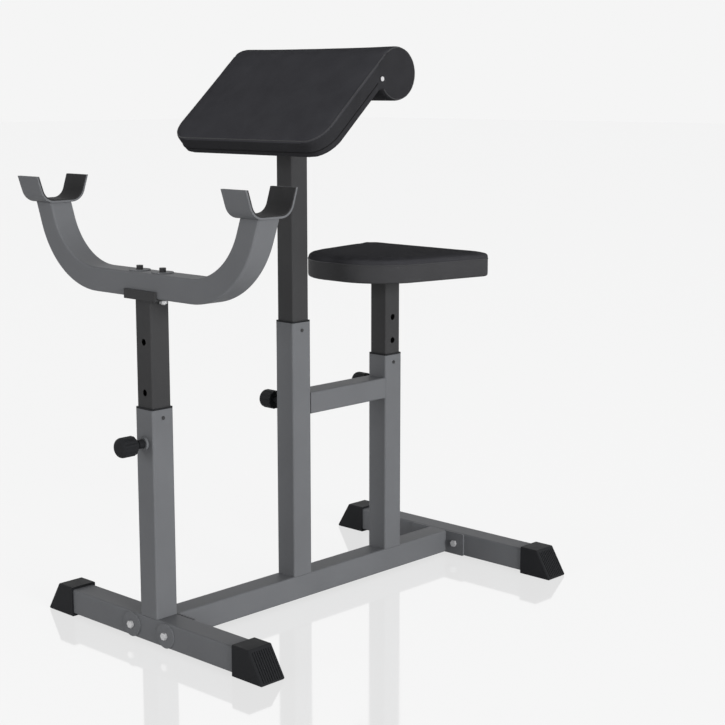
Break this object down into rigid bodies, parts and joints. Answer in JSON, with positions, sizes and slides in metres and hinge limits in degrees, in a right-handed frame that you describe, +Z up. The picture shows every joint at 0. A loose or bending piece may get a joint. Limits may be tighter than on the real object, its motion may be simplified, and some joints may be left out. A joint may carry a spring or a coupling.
{
  "type": "preacher curl bench",
  "caption": "Steel preacher curl bench with telescopic posts carrying a sloping arm pad, a padded seat and a forked bar rack on a two-foot base.",
  "frame": {"origin": "on the floor under the middle of the bench's bounding box, pad at its greatest height", "axes": "+Z up, +Y from the bar rack towards the seat, +X to the left of a user who sits on the seat and faces the rack; the lock knobs of pad and seat are on the -X side"},
  "size_m": [0.65, 0.9624, 1.12],
  "materials": {
    "frame_paint": "satin grey powder coat",
    "dark_paint": "dark satin powder coat",
    "black_plastic": "moulded black plastic",
    "zinc": "zinc plated",
    "vinyl": "black grained vinyl-coated fabric over foam",
    "board": "plywood behind black cover",
    "liner_rubber": "black rubber"
  },
  "bodies": {
    "frame": {"front_foot_tube": "frame_paint", "rear_foot_tube": "frame_paint", "main_beam": "frame_paint", "beam_front_plate": "frame_paint", "beam_rear_plate": "frame_paint", "front_bolt_discs": "frame_paint", "rack_post_sleeve": "frame_paint", "pad_post_sleeve": "frame_paint", "seat_post_sleeve": "frame_paint", "post_brace": "frame_paint", "rack_lock_collar": "frame_paint", "pad_lock_collar": "frame_paint", "seat_lock_collar": "frame_paint", "front_right_foot_cap": "black_plastic", "front_left_foot_cap": "black_plastic", "rear_right_foot_cap": "black_plastic", "rear_left_foot_cap": "black_plastic", "rack_post_bush": "black_plastic", "pad_post_bush": "black_plastic", "seat_post_bush": "black_plastic", "rack_lock_barrel": "black_plastic", "pad_lock_barrel": "black_plastic", "seat_lock_barrel": "black_plastic", "front_bolts": "zinc", "front_nuts": "zinc", "rear_bolts": "zinc", "rear_nuts": "zinc", "bush_screws": "zinc"},
    "rack": {"rack_inner_post": "dark_paint", "rack_post_glide": "black_plastic", "yoke_saddle": "dark_paint", "yoke": "frame_paint", "yoke_discs": "frame_paint", "yoke_bolts": "zinc", "yoke_nuts": "zinc", "left_bar_hook": "frame_paint", "right_bar_hook": "frame_paint", "left_hook_liner": "liner_rubber", "right_hook_liner": "liner_rubber"},
    "arm_pad": {"pad_inner_post": "dark_paint", "pad_post_glide": "black_plastic", "pad_plate": "dark_paint", "pad_board": "board", "pad_cushion": "vinyl", "pad_screws": "zinc", "pad_vents": "zinc"},
    "seat": {"seat_inner_post": "dark_paint", "seat_post_glide": "black_plastic", "seat_plate": "dark_paint", "seat_board": "board", "seat_cushion": "vinyl", "seat_screws": "zinc"},
    "rack_lock": {"rack_lock_pin": "zinc", "rack_lock_knob": "black_plastic"},
    "pad_lock": {"pad_lock_pin": "zinc", "pad_lock_knob": "black_plastic"},
    "seat_lock": {"seat_lock_pin": "zinc", "seat_lock_knob": "black_plastic"}
  },
  "joints": [
    {"name": "rack_height", "type": "slide", "parent": "frame", "child": "rack", "axis": [0, 0, 1], "range_m": [-0.19, 0]},
    {"name": "pad_height", "type": "slide", "parent": "frame", "child": "arm_pad", "axis": [0, 0, 1], "range_m": [-0.32, 0]},
    {"name": "seat_height", "type": "slide", "parent": "frame", "child": "seat", "axis": [0, 0, 1], "range_m": [-0.15, 0]},
    {"name": "rack_lock_push", "type": "slide", "parent": "frame", "child": "rack_lock", "axis": [0, 1, 0], "range_m": [0, 0.01]},
    {"name": "pad_lock_push", "type": "slide", "parent": "frame", "child": "pad_lock", "axis": [1, 0, 0], "range_m": [0, 0.01]},
    {"name": "seat_lock_push", "type": "slide", "parent": "frame", "child": "seat_lock", "axis": [1, 0, 0], "range_m": [0, 0.01]}
  ]
}
